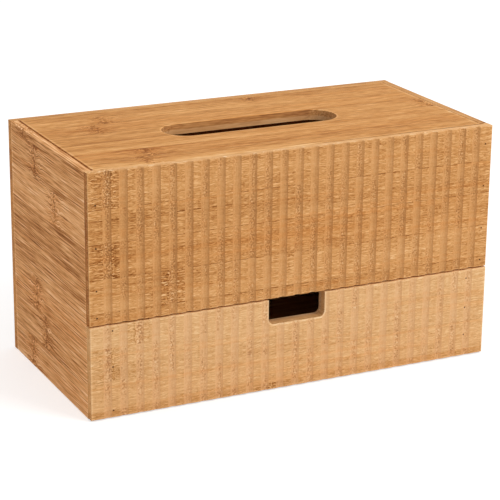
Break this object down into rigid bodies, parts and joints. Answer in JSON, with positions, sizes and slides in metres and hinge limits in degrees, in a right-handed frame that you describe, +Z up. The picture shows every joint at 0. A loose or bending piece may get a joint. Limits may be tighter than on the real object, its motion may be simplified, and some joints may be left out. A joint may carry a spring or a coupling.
{
  "type": "tissue box with drawer",
  "caption": "Rectangular bamboo tissue box with a loose slotted lid, fluted fronts and a drawer pulled by a finger notch.",
  "frame": {"origin": "middle of the underside, on the surface that the box stands on", "axes": "+X to the right along the width, +Y from the drawer front to the back panel, +Z up"},
  "size_m": [0.26, 0.13, 0.146],
  "materials": {
    "bamboo_side": "satin lacquered bamboo",
    "bamboo_fluted": "satin lacquered bamboo",
    "bamboo_back": "satin lacquered bamboo",
    "bamboo_lid": "satin lacquered bamboo",
    "bamboo_inner": "plain bamboo",
    "bamboo_drawer_front": "satin lacquered bamboo",
    "bamboo_drawer": "plain bamboo",
    "brad_steel": "bright steel brad"
  },
  "bodies": {
    "box": {"side_left": "bamboo_side", "side_right": "bamboo_side", "upper_front": "bamboo_fluted", "back_panel": "bamboo_back", "shelf": "bamboo_inner", "base_panel": "bamboo_inner", "front_brads": "brad_steel", "back_brads": "brad_steel", "base_brads": "brad_steel"},
    "lid": {"lid_panel": "bamboo_lid"},
    "drawer": {"drawer_front": "bamboo_drawer_front", "drawer_inner_front": "bamboo_drawer", "drawer_side_left": "bamboo_drawer", "drawer_side_right": "bamboo_drawer", "drawer_back": "bamboo_drawer", "drawer_bottom": "bamboo_drawer", "drawer_front_brads": "brad_steel", "drawer_back_brads": "brad_steel"}
  },
  "joints": [
    {"name": "drawer_slide", "type": "slide", "parent": "box", "child": "drawer", "axis": [0, -1, 0], "range_m": [0, 0.09]},
    {"name": "lid_lift", "type": "slide", "parent": "box", "child": "lid", "axis": [0, 0, 1], "range_m": [0, 0.08]}
  ]
}
